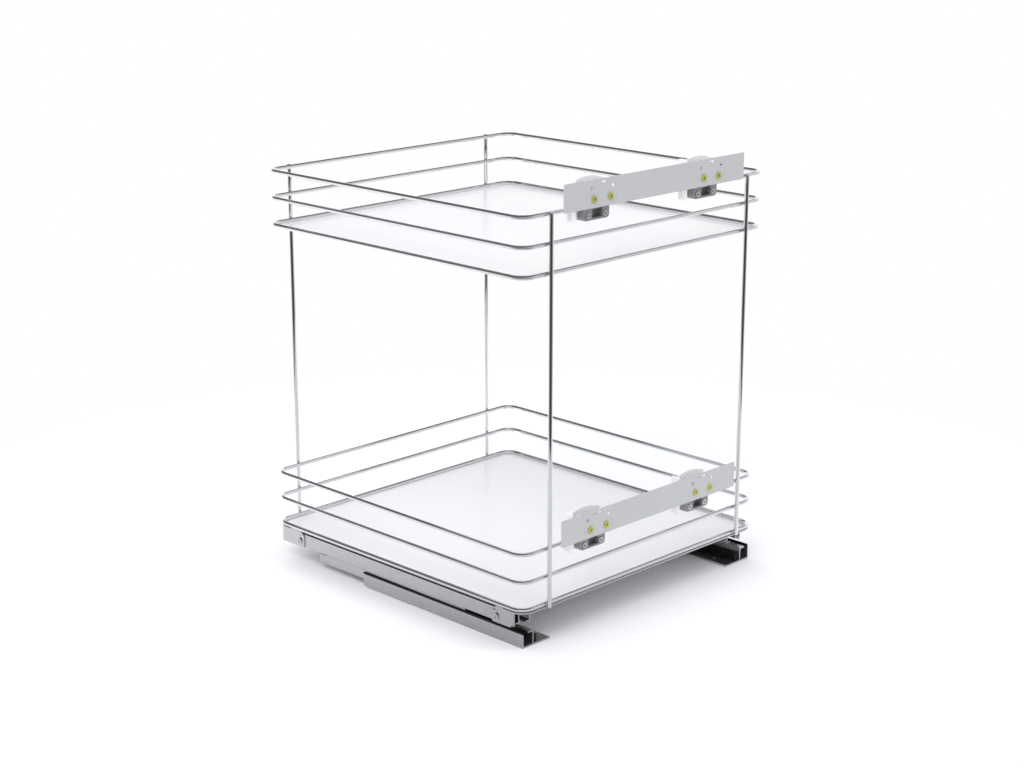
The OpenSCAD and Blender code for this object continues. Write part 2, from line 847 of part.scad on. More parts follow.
module front_bracket_outline() {
    polygon([
        [skirt_y0, bracket_low + toe_cut],
        [skirt_y0 + toe_cut, bracket_low],
        [front_bracket_y1, bracket_low],
        [front_bracket_y1, skirt_top - shoulder_drop],
        [front_flange_y1, skirt_top - shoulder_drop],
        [front_flange_y1, base_z],
        [skirt_y0, base_z]
    ]);
}

module rear_bracket_outline() {
    rect(rear_bracket_y0, bracket_low, skirt_y1, base_z - bracket_r);
    rect(rear_bracket_y0 + bracket_r, bracket_low, skirt_y1, base_z);
    translate([rear_bracket_y0 + bracket_r, base_z - bracket_r])
        circle(r = bracket_r);
}

module bracket(which, flange_y0, flange_y1, rivet_y) {
    color("gainsboro")
        on_side(which)
            difference() {
                union() {
                    along_x(-bracket_t - seam_gap, -seam_gap)
                        children();
                    bar(-bracket_t, flange_y0, flange_under, flange_in, flange_y1, base_z);
                }
                at_bracket_screws()
                    rod_x(-bracket_t - seam_gap - eps, 0, bracket_screw_d + 2 * weld_gap);
                translate([rivet_in, rivet_y, flange_under - eps])
                    cylinder(h = bracket_t + 2 * eps, d = rivet_d + 2 * weld_gap);
            }
}

module front_bracket(which) {
    bracket(which, skirt_y0, front_flange_y1, rivet_front)
        front_bracket_outline();
}

module rear_bracket(which) {
    bracket(which, rear_bracket_y0 + bracket_r, skirt_y1, rivet_rear)
        rear_bracket_outline();
}

// Screws that hold the brackets to the drawer rail, each with a hexagon socket and a nut
nut_d = 7;
nut_h = 3;
thread_end = 1;
bracket_socket_d = 4.4;
bracket_socket_depth = 1;

module bracket_screw() {
    head_in = -bracket_t - seam_gap;
    difference() {
        union() {
            rod_x(head_in - bracket_head_h, head_in, bracket_head_d);
            rod_x(head_in - eps, mid_wall_in + rail_t + nut_h + thread_end, bracket_screw_d);
            translate([mid_wall_in + rail_t, 0, 0])
                rotate([0, 90, 0])
                    cylinder(h = nut_h, d = nut_d, $fn = 6);
        }
        translate([head_in - bracket_head_h - eps, 0, 0])
            rotate([0, 90, 0])
                cylinder(h = bracket_socket_depth + eps, d = bracket_socket_d, $fn = 6);
    }
}

module bracket_screws() {
    color("gray")
        for (which = [LEFT, RIGHT])
            on_side(which)
                at_bracket_screws()
                    bracket_screw();
}

module base_plate_rivets() {
    color("gray")
        for (side = [-1, 1], y = [rivet_front, rivet_rear])
            translate([side * (runner_x - rivet_in), ring_y + y, flange_under]) {
                cylinder(h = bracket_t + rivet_bite, d = rivet_d);
                translate([0, 0, -rivet_head_h])
                    cylinder(h = rivet_head_h, d = rivet_head_d);
            }
}

// Rollers sit in a row, centred in their cage
function row_count(l) = floor((l - roller_pitch / 2) / roller_pitch) + 1;

module in_row(y0, y1) {
    count = row_count(y1 - y0);
    middle = (y0 + y1) / 2;
    for (i = [0 : count - 1])
        translate([0, middle + (i - (count - 1) / 2) * roller_pitch, 0])
            children();
}

module window(x0, z0, x1, z1, d) {
    bar(x0 - cage_gap, -d / 2 - cage_gap, z0 - eps, x1 + cage_gap, d / 2 + cage_gap, z1 + eps);
}

// Lower cage: load rollers on the floor plate, and hold-down rollers under the lip
lower_load_z = base_t + roller_gap + lower_roller_d / 2;
lower_hold_z = foot_top + roller_gap + hold_roller_d / 2;
load_side_gap = 1.1;
lower_load_in = inter_wall + rail_t + load_side_gap;
lower_hold_in = lip_in + cage_gap;
cage_side_gap = 0.9;
lower_web_out = channel_in - cage_side_gap;
cage_web_t = 1.3;
cage_rim = 0.9;

module lower_rollers(which) {
    color("lightsteelblue")
        on_side(which)
            in_row(lower_cage_y0, lower_cage_y1) {
                translate([0, 0, lower_load_z])
                    rod_x(lower_load_in, lower_load_in + lower_roller_l, lower_roller_d);
                translate([0, 0, lower_hold_z])
                    rod_x(lower_hold_in, lower_hold_in + hold_roller_l, hold_roller_d);
            }
}

module lower_cage(which) {
    load0 = lower_load_z - cage_t / 2;
    load1 = lower_load_z + cage_t / 2;
    hold0 = lower_hold_z - cage_t / 2;
    hold1 = lower_hold_z + cage_t / 2;
    web = lower_web_out - cage_web_t;
    color("dimgray")
        on_side(which)
            difference() {
                along_y(lower_cage_y0, lower_cage_y1) {
                    rect(lower_load_in - cage_rim, load0, lower_web_out, load1);
                    rect(web, load0, lower_web_out, hold1);
                    rect(lower_hold_in - cage_rim, hold0, lower_web_out, hold1);
                }
                in_row(lower_cage_y0, lower_cage_y1) {
                    window(lower_load_in, load0, lower_load_in + lower_roller_l, load1, lower_roller_d);
                    window(lower_hold_in, hold0, lower_hold_in + hold_roller_l, hold1, hold_roller_d);
                }
            }
}

// Upper cage: load rollers on the intermediate rail's head, and hold-down rollers under it
upper_load_z = head_z + roller_gap + upper_roller_d / 2;
upper_hold_z = hat_foot_z + rail_t + roller_gap + upper_hold_d / 2;
upper_side_gap = 0.5;
upper_hold_side_gap = 1;
upper_load_in = upstand_in + upper_side_gap;
upper_hold_in = hat_lip_in + upper_hold_side_gap;
upper_web_out = hat_in - rail_t - upper_side_gap;
upper_web_t = 1.1;
upper_hold_t = 1.3;

module upper_rollers(which) {
    color("lightsteelblue")
        on_side(which)
            in_row(upper_cage_y0, upper_cage_y1) {
                translate([0, 0, upper_load_z])
                    rod_x(upper_load_in, upper_load_in + upper_roller_l, upper_roller_d);
                translate([0, 0, upper_hold_z])
                    rod_x(upper_hold_in, upper_hold_in + upper_hold_l, upper_hold_d);
            }
}

module upper_cage(which) {
    load0 = upper_load_z - cage_t / 2;
    load1 = upper_load_z + cage_t / 2;
    hold0 = upper_hold_z - upper_hold_t / 2;
    hold1 = upper_hold_z + upper_hold_t / 2;
    web = upper_web_out - upper_web_t;
    color("dimgray")
        on_side(which)
            difference() {
                along_y(upper_cage_y0, upper_cage_y1) {
                    rect(upper_load_in - cage_rim, load0, upper_web_out, load1);
                    rect(web, hold0, upper_web_out, load1);
                    rect(upper_hold_in - cage_rim, hold0, upper_web_out, hold1);
                }
                in_row(upper_cage_y0, upper_cage_y1) {
                    window(upper_load_in, load0, upper_load_in + upper_roller_l, load1, upper_roller_d);
                    window(upper_hold_in, hold0, upper_hold_in + upper_hold_l, hold1, upper_hold_d);
                }
            }
}

// Damper: a housing on the floor flange, with a catch in a slot along its top
stem_w = 2.4;
stem_in = damper_in + (damper_w - stem_w) / 2;
stem_depth = 4;
housing_top = base_t + damper_h;
slot_play = 0.3;
housing_r = 1;
catch_out = 1;
catch_side_gap = 0.2;

module damper_housing(which) {
    y0 = cabinet_y0 + damper_setback;
    color("black")
        on_side(which)
            difference() {
                along_y(y0, y0 + damper_l)
                    rounded_rect(damper_in, base_t, damper_in + damper_w, housing_top, housing_r);
                bar(stem_in - slot_play, catch_y0 - damper_stroke - slot_play,
                    housing_top - stem_depth - slot_play,
                    stem_in + stem_w + slot_play, catch_y1 + slot_play, housing_top + eps);
            }
}

module damper_catch(which) {
    color("dimgray")
        on_side(which) {
            bar(stem_in, catch_y0, housing_top - stem_depth,
                stem_in + stem_w, catch_y1, housing_top + slot_play);
            bar(damper_in + catch_out, catch_y0, housing_top + slot_play,
                damper_in + damper_w - catch_side_gap, catch_y1, catch_z);
        }
}

shelf_at(rim_z);  // lower_shelf
shelf_at(rim_z + tier_gap);  // upper_shelf
shelf_stiffeners();
base_plate(front_face, front_base_y1);  // front_base_plate
base_plate(rear_base_y0, basket_d / 2);  // rear_base_plate
ring_at(rim_z, rim_d);  // lower_rim
ring_at(middle_z, rail_d);  // lower_middle_rail
ring_at(top_z, rail_d);  // lower_top_rail
ring_at(rim_z + tier_gap, rim_d);  // upper_rim
ring_at(middle_z + tier_gap, rail_d);  // upper_middle_rail
ring_at(top_z + tier_gap, rail_d);  // upper_top_rail
post(-1, -1);  // post_front_left
post(1, -1);  // post_front_right
post(-1, 1);  // post_rear_left
post(1, 1);  // post_rear_right
front_plate(1);  // upper_front_plate
front_plate(0);  // lower_front_plate
adjuster_slides(1);  // upper_adjuster_slides
adjuster_slides(0);  // lower_adjuster_slides
carrier(-1, 1);  // carrier_upper_left
carrier(1, 1);  // carrier_upper_right
carrier(-1, 0);  // carrier_lower_left
carrier(1, 0);  // carrier_lower_right
clamp_block(-1, 1);  // clamp_upper_left
clamp_block(1, 1);  // clamp_upper_right
clamp_block(-1, 0);  // clamp_lower_left
clamp_block(1, 0);  // clamp_lower_right
clamp_screws();
side_screw(-1, 1);  // side_screw_upper_left
side_screw(1, 1);  // side_screw_upper_right
side_screw(-1, 0);  // side_screw_lower_left
side_screw(1, 0);  // side_screw_lower_right
height_screw(-1, 1);  // height_screw_upper_left
height_screw(1, 1);  // height_screw_upper_right
height_screw(-1, 0);  // height_screw_lower_left
height_screw(1, 0);  // height_screw_lower_right
cabinet_rail(LEFT);  // cabinet_rail_left
cabinet_rail(RIGHT);  // cabinet_rail_right
damper_housing(LEFT);  // damper_housing_left
damper_housing(RIGHT);  // damper_housing_right
damper_catch(LEFT);  // damper_catch_left
damper_catch(RIGHT);  // damper_catch_right
intermediate_rail(LEFT);  // intermediate_rail_left
intermediate_rail(RIGHT);  // intermediate_rail_right
lower_cage(LEFT);  // lower_cage_left
lower_cage(RIGHT);  // lower_cage_right
lower_rollers(LEFT);  // lower_rollers_left
lower_rollers(RIGHT);  // lower_rollers_right
upper_cage(LEFT);  // upper_cage_left
upper_cage(RIGHT);  // upper_cage_right
upper_rollers(LEFT);  // upper_rollers_left
upper_rollers(RIGHT);  // upper_rollers_right
drawer_rail(LEFT);  // drawer_rail_left
drawer_rail(RIGHT);  // drawer_rail_right
front_bracket(LEFT);  // front_bracket_left
front_bracket(RIGHT);  // front_bracket_right
rear_bracket(LEFT);  // rear_bracket_left
rear_bracket(RIGHT);  // rear_bracket_right
bracket_screws();
base_plate_rivets();
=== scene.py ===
import bmesh
import bpy
import json
import math
import numpy as np
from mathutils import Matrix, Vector


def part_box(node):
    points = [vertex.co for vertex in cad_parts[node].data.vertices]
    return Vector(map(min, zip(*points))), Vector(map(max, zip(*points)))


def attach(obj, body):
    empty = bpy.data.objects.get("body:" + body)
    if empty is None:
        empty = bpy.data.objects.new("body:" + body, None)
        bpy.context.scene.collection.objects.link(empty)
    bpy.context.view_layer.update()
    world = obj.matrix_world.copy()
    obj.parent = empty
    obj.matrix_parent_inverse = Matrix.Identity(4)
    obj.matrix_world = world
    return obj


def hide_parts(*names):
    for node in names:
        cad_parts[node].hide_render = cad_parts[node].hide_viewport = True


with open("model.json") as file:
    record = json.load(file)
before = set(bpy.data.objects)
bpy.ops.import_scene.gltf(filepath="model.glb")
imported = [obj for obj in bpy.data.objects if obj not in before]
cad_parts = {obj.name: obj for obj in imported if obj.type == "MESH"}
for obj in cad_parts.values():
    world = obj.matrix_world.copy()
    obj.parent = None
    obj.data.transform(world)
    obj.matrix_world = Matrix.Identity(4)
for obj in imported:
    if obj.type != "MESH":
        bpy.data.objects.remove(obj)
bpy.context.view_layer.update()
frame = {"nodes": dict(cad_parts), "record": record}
record = frame["record"]
nodeBody = {node: body for body, nodes in record["behaviour"]["bodies"].items() for node in nodes}
nodeSlot = {part["node"]: part["material_slot"] for part in record["subparts"]}

# the camera stands in front of the left front corner and looks down a little
cameraValues = {
    "place": (-1.8648, -1.8443, 0.9920),  # metres, in front of the left front corner
    "turn": -45.198,  # degrees from straight into the cabinet
    "pitch": 15.791,  # degrees looking down
    "lens": 70.36,
}


def makeCamera(values):
    data = bpy.data.cameras.new("photoCamera")
    data.lens = values["lens"]
    data.sensor_width = 36.0
    data.clip_start = 0.05
    data.clip_end = 60.0
    data.dof.use_dof = False
    camera = bpy.data.objects.new("photoCamera", data)
    turn, pitch = math.radians(values["turn"]), math.radians(values["pitch"])
    look = Vector((-math.sin(turn) * math.cos(pitch), math.cos(turn) * math.cos(pitch), -math.sin(pitch)))
    camera.location = values["place"]
    camera.rotation_euler = look.to_track_quat("-Z", "Y").to_euler()
    bpy.context.scene.collection.objects.link(camera)
    bpy.context.scene.camera = camera
    return camera


makeCamera(cameraValues)
bpy.context.scene.view_settings.view_transform = "Standard"
print("camera set")


# an empty shader node group with named sockets
def newGroup(name, inputs, outputs):
    group = bpy.data.node_groups.new(name, "ShaderNodeTree")
    for label, kind, value in inputs:
        socket = group.interface.new_socket(name=label, in_out="INPUT", socket_type=kind)
        if value is not None:
            socket.default_value = value
    for label, kind in outputs:
        group.interface.new_socket(name=label, in_out="OUTPUT", socket_type=kind)
    return group, group.nodes.new("NodeGroupInput"), group.nodes.new("NodeGroupOutput")


# a Math node; each input is a socket or a number
def mathNode(tree, operation, first, second=None):
    node = tree.nodes.new("ShaderNodeMath")
    node.operation = operation
    for index, value in enumerate((first, second)):
        if value is None:
            continue
        if isinstance(value, (int, float)):
            node.inputs[index].default_value = value
        else:
            tree.links.new(value, node.inputs[index])
    return node.outputs[0]


# a noise texture; its scale is a socket or a number, and stretch draws it out along an axis
def noiseNode(tree, vector, scale, detail, rough, stretch=None):
    if stretch is not None:
        mapping = tree.nodes.new("ShaderNodeMapping")
        mapping.inputs["Scale"].default_value = stretch
        tree.links.new(vector, mapping.inputs["Vector"])
        vector = mapping.outputs[0]
    noise = tree.nodes.new("ShaderNodeTexNoise")
    tree.links.new(vector, noise.inputs["Vector"])
    if isinstance(scale, (int, float)):
        noise.inputs["Scale"].default_value = scale
    else:
        tree.links.new(scale, noise.inputs["Scale"])
    noise.inputs["Detail"].default_value = detail
    noise.inputs["Roughness"].default_value = rough
    return noise.outputs["Fac"]


# moves a value from one range to another, held at the ends
def rangeNode(tree, value, low, high, toLow, toHigh):
    node = tree.nodes.new("ShaderNodeMapRange")
    node.clamp = True
    tree.links.new(value, node.inputs["Value"])
    for label, number in (("From Min", low), ("From Max", high), ("To Min", toLow), ("To Max", toHigh)):
        node.inputs[label].default_value = number
    return node.outputs[0]


# mixes two colours by a factor; each is a socket or a tuple
def mixNode(tree, factor, first, second):
    node = tree.nodes.new("ShaderNodeMix")
    node.data_type = "RGBA"
    for socket, value in ((node.inputs[0], factor), (node.inputs[6], first), (node.inputs[7], second)):
        if isinstance(value, tuple):
            socket.default_value = value if len(value) == 4 else (*value, 1.0)
        else:
            tree.links.new(value, socket)
    return node.outputs[2]


grainValues = {"fine": (2.0, 0.6), "broad": (4.0, 0.55)}  # detail and roughness of each noise


# fine and broad noise together: tone for the colour, gloss for the roughness, height for the bump
def makeGrainGroup(values):
    group, entry, leave = newGroup(
        "surfaceGrain",
        [("Vector", "NodeSocketVector", None), ("Fine", "NodeSocketFloat", 900.0),
         ("Broad", "NodeSocketFloat", 14.0), ("Drift", "NodeSocketFloat", 0.05)],
        [("Tone", "NodeSocketFloat"), ("Gloss", "NodeSocketFloat"), ("Height", "NodeSocketFloat")],
    )
    fine = noiseNode(group, entry.outputs["Vector"], entry.outputs["Fine"], *values["fine"])
    broad = noiseNode(group, entry.outputs["Vector"], entry.outputs["Broad"], *values["broad"])
    centred = mathNode(group, "SUBTRACT", broad, 0.5)
    drift = mathNode(group, "MULTIPLY", centred, entry.outputs["Drift"])
    group.links.new(mathNode(group, "ADD", drift, 1.0), leave.inputs["Tone"])
    group.links.new(broad, leave.inputs["Gloss"])
    group.links.new(fine, leave.inputs["Height"])
    return group


spangleValues = {
    "streaks": (60.0, 4.0, 0.6),  # scale, detail and roughness of the rolling streaks
    "stretch": (6.0, 0.25, 6.0),
    "crystalShare": 0.45, "streakShare": 0.55,
}


# zinc crystals: cells of slightly different grey, with rolling streaks along the strip
def makeSpangleGroup(values):
    group, entry, leave = newGroup(
        "zincSpangle",
        [("Vector", "NodeSocketVector", None), ("Cells", "NodeSocketFloat", 160.0)],
        [("Tone", "NodeSocketFloat"), ("Gloss", "NodeSocketFloat"), ("Height", "NodeSocketFloat")],
    )
    cells = group.nodes.new("ShaderNodeTexVoronoi")
    group.links.new(entry.outputs["Vector"], cells.inputs["Vector"])
    group.links.new(entry.outputs["Cells"], cells.inputs["Scale"])
    grey = group.nodes.new("ShaderNodeRGBToBW")
    group.links.new(cells.outputs["Color"], grey.inputs[0])
    streaks = noiseNode(group, entry.outputs["Vector"], *values["streaks"], values["stretch"])
    crystalTone = mathNode(group, "MULTIPLY", grey.outputs[0], values["crystalShare"])
    streakTone = mathNode(group, "MULTIPLY", streaks, values["streakShare"])
    group.links.new(mathNode(group, "ADD", crystalTone, streakTone), leave.inputs["Tone"])
    group.links.new(grey.outputs[0], leave.inputs["Gloss"])
    group.links.new(streaks, leave.inputs["Height"])
    return group


grainGroup = makeGrainGroup(grainValues)
spangleGroup = makeSpangleGroup(spangleValues)


def placeGroup(tree, group, vector, **values):
    node = tree.nodes.new("ShaderNodeGroup")
    node.node_tree = group
    tree.links.new(vector, node.inputs["Vector"])
    for label, value in values.items():
        node.inputs[label].default_value = value
    return node


def newMaterial(name, roughness, metallic):
    material = bpy.data.materials.new(name)
    material.use_nodes = True
    tree = material.node_tree
    shader = tree.nodes["Principled BSDF"]
    shader.inputs["Roughness"].default_value = roughness
    shader.inputs["Metallic"].default_value = metallic
    coords = tree.nodes.new("ShaderNodeTexCoord").outputs["Object"]
    return material, tree, shader, coords


def addBump(tree, shader, height, strength, distance):
    bump = tree.nodes.new("ShaderNodeBump")
    bump.inputs["Strength"].default_value = strength
    bump.inputs["Distance"].default_value = distance
    tree.links.new(height, bump.inputs["Height"])
    tree.links.new(bump.outputs["Normal"], shader.inputs["Normal"])


glossValues = {
    "coated": {"noise": (0.3, 0.7), "spread": 0.15},  # part of the noise used, and its effect on the roughness
    "zinc": {"noise": (0.2, 0.8), "spread": 0.06, "tone": (0.25, 0.75)},
}


# the roughness goes a little up and down round the finish's own
def addGloss(tree, shader, noise, roughness, values):
    low, high = roughness * (1.0 - values["spread"]), roughness * (1.0 + values["spread"])
    tree.links.new(rangeNode(tree, noise, *values["noise"], low, high), shader.inputs["Roughness"])


# painted or plated surface: one colour that drifts a little, fine grain and a changing gloss
def makeCoatedMetal(name, values):
    material, tree, shader, coords = newMaterial(name, values["roughness"], values["metallic"])
    shader.inputs["Specular IOR Level"].default_value = values.get("specular", 0.5)
    sizes = {"Fine": values["fine"], "Broad": values["broad"], "Drift": values["drift"]}
    grain = placeGroup(tree, grainGroup, coords, **sizes)
    dark = tuple(c * (1.0 - values["spread"]) for c in values["color"])
    tone = rangeNode(tree, grain.outputs["Tone"], 1.0 - values["drift"] / 2, 1.0 + values["drift"] / 2, 0.0, 1.0)
    tree.links.new(mixNode(tree, tone, dark, values["color"]), shader.inputs["Base Color"])
    addGloss(tree, shader, grain.outputs["Gloss"], values["roughness"], glossValues["coated"])
    addBump(tree, shader, grain.outputs["Height"], values["bump"], values["depth"])
    return material


# zinc-plated strip steel with faint crystals and rolling streaks
def makeZincSteel(name, values):
    material, tree, shader, coords = newMaterial(name, values["roughness"], values["metallic"])
    spangle = placeGroup(tree, spangleGroup, coords, Cells=values["cells"])
    tone = rangeNode(tree, spangle.outputs["Tone"], *glossValues["zinc"]["tone"], 0.0, 1.0)
    tree.links.new(mixNode(tree, tone, values["dark"], values["light"]), shader.inputs["Base Color"])
    addGloss(tree, shader, spangle.outputs["Gloss"], values["roughness"], glossValues["zinc"])
    addBump(tree, shader, spangle.outputs["Height"], values["bump"], values["depth"])
    return material


finishes = {
    "chrome_wire": (makeCoatedMetal, {
        "color": (0.86, 0.87, 0.885), "spread": 0.05, "metallic": 1.0, "roughness": 0.08,
        "fine": 700.0, "broad": 22.0, "drift": 0.1, "bump": 0.05, "depth": 0.0002}),
    "white_sheet": (makeCoatedMetal, {
        "color": (0.84, 0.84, 0.845), "spread": 0.02, "metallic": 0.0, "roughness": 0.22,
        "fine": 420.0, "broad": 9.0, "drift": 0.1, "bump": 0.03, "depth": 0.0002}),
    "white_steel": (makeCoatedMetal, {
        "color": (0.95, 0.95, 0.95), "spread": 0.03, "metallic": 0.0, "roughness": 0.36,
        "fine": 500.0, "broad": 30.0, "drift": 0.1, "bump": 0.06, "depth": 0.0002}),
    "grey_plate": (makeCoatedMetal, {
        "color": (0.54, 0.545, 0.55), "spread": 0.04, "metallic": 0.0, "roughness": 0.42,
        "fine": 600.0, "broad": 26.0, "drift": 0.1, "bump": 0.06, "depth": 0.0002}),
    "die_cast": (makeCoatedMetal, {
        "color": (0.34, 0.345, 0.35), "spread": 0.25, "metallic": 0.45, "roughness": 0.4,
        "fine": 380.0, "broad": 60.0, "drift": 0.1, "bump": 0.2, "depth": 0.0004}),
    "yellow_zinc": (makeCoatedMetal, {
        "color": (0.66, 0.65, 0.17), "spread": 0.25, "metallic": 0.6, "roughness": 0.34,
        "fine": 500.0, "broad": 220.0, "drift": 0.1, "bump": 0.08, "depth": 0.0002}),
    "black_plastic": (makeCoatedMetal, {
        "color": (0.009, 0.009, 0.01), "spread": 0.3, "metallic": 0.0, "roughness": 0.5,
        "fine": 800.0, "broad": 50.0, "drift": 0.1, "bump": 0.12, "depth": 0.0002,
        "specular": 0.22}),
    "galvanised": (makeZincSteel, {
        "dark": (0.575, 0.58, 0.59), "light": (0.61, 0.615, 0.63), "metallic": 1.0,
        "roughness": 0.3, "cells": 190.0, "bump": 0.01, "depth": 0.00005}),
    "bright_steel": (makeZincSteel, {
        "dark": (0.55, 0.55, 0.55), "light": (0.72, 0.72, 0.72), "metallic": 1.0,
        "roughness": 0.2, "cells": 500.0, "bump": 0.04, "depth": 0.0001}),
}
materials = {slot: make(slot, values) for slot, (make, values) in finishes.items()}
for name, node in frame["nodes"].items():
    node.data.materials.clear()
    node.data.materials.append(materials[nodeSlot[name]])
print("materials made:", len(materials))


# quads of a grid of points, joined round where it closes on itself
def gridFaces(rows, columns, closeRows, closeColumns):
    r = np.arange(rows if closeRows else rows - 1)
    c = np.arange(columns if closeColumns else columns - 1)
    r, c = np.meshgrid(r, c, indexing="ij")
    r2, c2 = (r + 1) % rows, (c + 1) % columns
    quads = [r * columns + c, r2 * columns + c, r2 * columns + c2, r * columns + c2]
    return np.stack(quads, axis=-1).reshape(-1, 4)


# puts points and faces into a mesh, gives it its finish, and lets it ride on its body
def addPiece(name, points, faces, slot, body, nodes=(), smooth=True):
    mesh = bpy.data.meshes.new(name)
    mesh.from_pydata(points.reshape(-1, 3).tolist(), [], [list(map(int, f)) for f in faces])
    mesh.polygons.foreach_set("use_smooth", [smooth] * len(mesh.polygons))
    mesh.materials.append(materials[slot])
    mesh.update()
    piece = bpy.data.objects.new(name, mesh)
    bpy.context.scene.collection.objects.link(piece)
    if nodes:
        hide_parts(*nodes)
    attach(piece, body)
    return piece


# a rectangle with round corners: points on it, and the outward direction at each
def ringPath(halfX, halfY, radius, cornerSteps=14, sideSteps=10):
    points, outward = [], []
    corners = ((1, -1, -90.0), (1, 1, 0.0), (-1, 1, 90.0), (-1, -1, 180.0))
    for signX, signY, start in corners:
        angle = np.radians(np.linspace(start, start + 90.0, cornerSteps))
        direction = np.stack([np.cos(angle), np.sin(angle)], axis=1)
        centre = np.array([signX * (halfX - radius), signY * (halfY - radius)])
        points.append(centre + radius * direction)
        outward.append(direction)
    path, normals = [], []
    for index in range(4):
        path.append(points[index])
        normals.append(outward[index])
        share = np.linspace(0.0, 1.0, sideSteps + 2)[1:-1, None]
        start, end = points[index][-1], points[(index + 1) % 4][0]
        path.append(start + (end - start) * share)
        normals.append(np.repeat(outward[index][-1:], sideSteps, axis=0))
    return np.concatenate(path), np.concatenate(normals)


wireValues = {"around": 28, "cornerRadius": 0.018}


# a circle carried along a rectangle with round corners: point = path + r (cos v outward + sin v up)
def wireRing(name, node):
    low, high = (np.array(corner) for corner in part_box(node))
    radius = (high[2] - low[2]) / 2
    centre = (low + high) / 2
    half = (high - low) / 2 - radius
    path, outward = ringPath(half[0], half[1], wireValues["cornerRadius"])
    v = np.linspace(0.0, 2 * np.pi, wireValues["around"], endpoint=False)
    points = np.zeros((len(path), len(v), 3))
    points[..., :2] = path[:, None, :] + outward[:, None, :] * np.cos(v)[None, :, None] * radius
    points[..., 2] = np.sin(v)[None, :] * radius
    points += centre
    faces = gridFaces(len(path), len(v), True, True)[:, ::-1]
    return addPiece(name, points, faces, "chrome_wire", nodeBody[node], [node])


postValues = {"around": 28, "round": 0.0012, "bendSteps": 7, "rows": 9}


# a turned profile: radius as a function of height, rounded over at both ends and closed there
def wirePost(name, node):
    low, high = (np.array(corner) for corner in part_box(node))
    radius = (high[0] - low[0]) / 2
    centre = (low + high) / 2
    bend = np.radians(np.linspace(0.0, 90.0, postValues["bendSteps"]))
    r = postValues["round"]
    lowEnd = np.stack([radius - r + r * np.sin(bend), low[2] + r - r * np.cos(bend)], axis=1)
    highEnd = np.stack([radius - r + r * np.cos(bend), high[2] - r + r * np.sin(bend)], axis=1)
    rows = postValues["rows"]
    middle = np.stack([np.full(rows, radius), np.linspace(low[2] + r, high[2] - r, rows + 2)[1:-1]], axis=1)
    profile = np.concatenate([lowEnd, middle, highEnd])
    v = np.linspace(0.0, 2 * np.pi, postValues["around"], endpoint=False)
    points = np.zeros((len(profile), len(v), 3))
    points[..., 0] = centre[0] + profile[:, None, 0] * np.cos(v)
    points[..., 1] = centre[1] + profile[:, None, 0] * np.sin(v)
    points[..., 2] = profile[:, None, 1]
    faces = gridFaces(len(profile), len(v), False, True)[:, ::-1].tolist()
    count = len(v)
    last = (len(profile) - 1) * count
    faces.append(list(range(count))[::-1])
    faces.append(list(range(last, last + count)))
    return addPiece(name, points, faces, "chrome_wire", nodeBody[node], [node])


for tier in ("upper", "lower"):
    wireRing(tier + "RimWire", tier + "_rim")
    wireRing(tier + "MiddleRailWire", tier + "_middle_rail")
    wireRing(tier + "TopRailWire", tier + "_top_rail")
for end in ("front", "rear"):
    for side in ("left", "right"):
        wirePost(end + side.capitalize() + "Post", f"post_{end}_{side}")


weldValues = {"reach": (0.0026, 0.0016, 0.0019), "rows": 10, "columns": 16, "inward": 0.0001}


# small ellipsoids where each post meets each ring: point = centre + (a cos u cos v, b cos u sin v, c sin u)
def weldBeads(values):
    u = np.linspace(-0.5 * np.pi, 0.5 * np.pi, values["rows"] + 2)[1:-1]
    v = np.linspace(0.0, 2 * np.pi, values["columns"], endpoint=False)
    a, b, c = values["reach"]
    bead = np.zeros((len(u), len(v), 3))
    bead[..., 0] = a * np.cos(u)[:, None] * np.cos(v)
    bead[..., 1] = b * np.cos(u)[:, None] * np.sin(v)
    bead[..., 2] = c * np.sin(u)[:, None]
    faces = gridFaces(len(u), len(v), False, True).tolist()
    faces.append(list(range(len(v)))[::-1])
    faces.append(list(range((len(u) - 1) * len(v), len(u) * len(v))))
    rings = [tier + ring for tier in ("lower", "upper") for ring in ("_rim", "_middle_rail", "_top_rail")]
    centres = []
    for post in ("post_front_left", "post_front_right", "post_rear_left", "post_rear_right"):
        low, high = (np.array(corner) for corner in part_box(post))
        inward = 1.0 if low[1] < 0 else -1.0
        face = high[1] if low[1] < 0 else low[1]
        y = face + inward * values["inward"]
        for ring in rings:
            ringLow, ringHigh = (np.array(corner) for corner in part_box(ring))
            centres.append(((low[0] + high[0]) / 2, y, (ringLow[2] + ringHigh[2]) / 2))
    centres = np.array(centres)
    points = (centres[:, None, None, :] + bead[None]).reshape(-1, 3)
    allFaces = [[index + k * bead.size // 3 for index in face] for k in range(len(centres)) for face in faces]
    return addPiece("weldBeads", points, allFaces, "chrome_wire", nodeBody["lower_rim"])


weldBeads(weldValues)
print("wires and welds made")


sheetValues = {
    "edge": 0.00035,
    "flatBand": 0.0008,  # a flat band inside the rounded edge keeps the faces' shading flat
    "cornerRadius": 0.015714,
    "bendSteps": 5, "cornerSteps": 12, "sideSteps": 6,
    "sharpAngle": 60,  # degrees
}


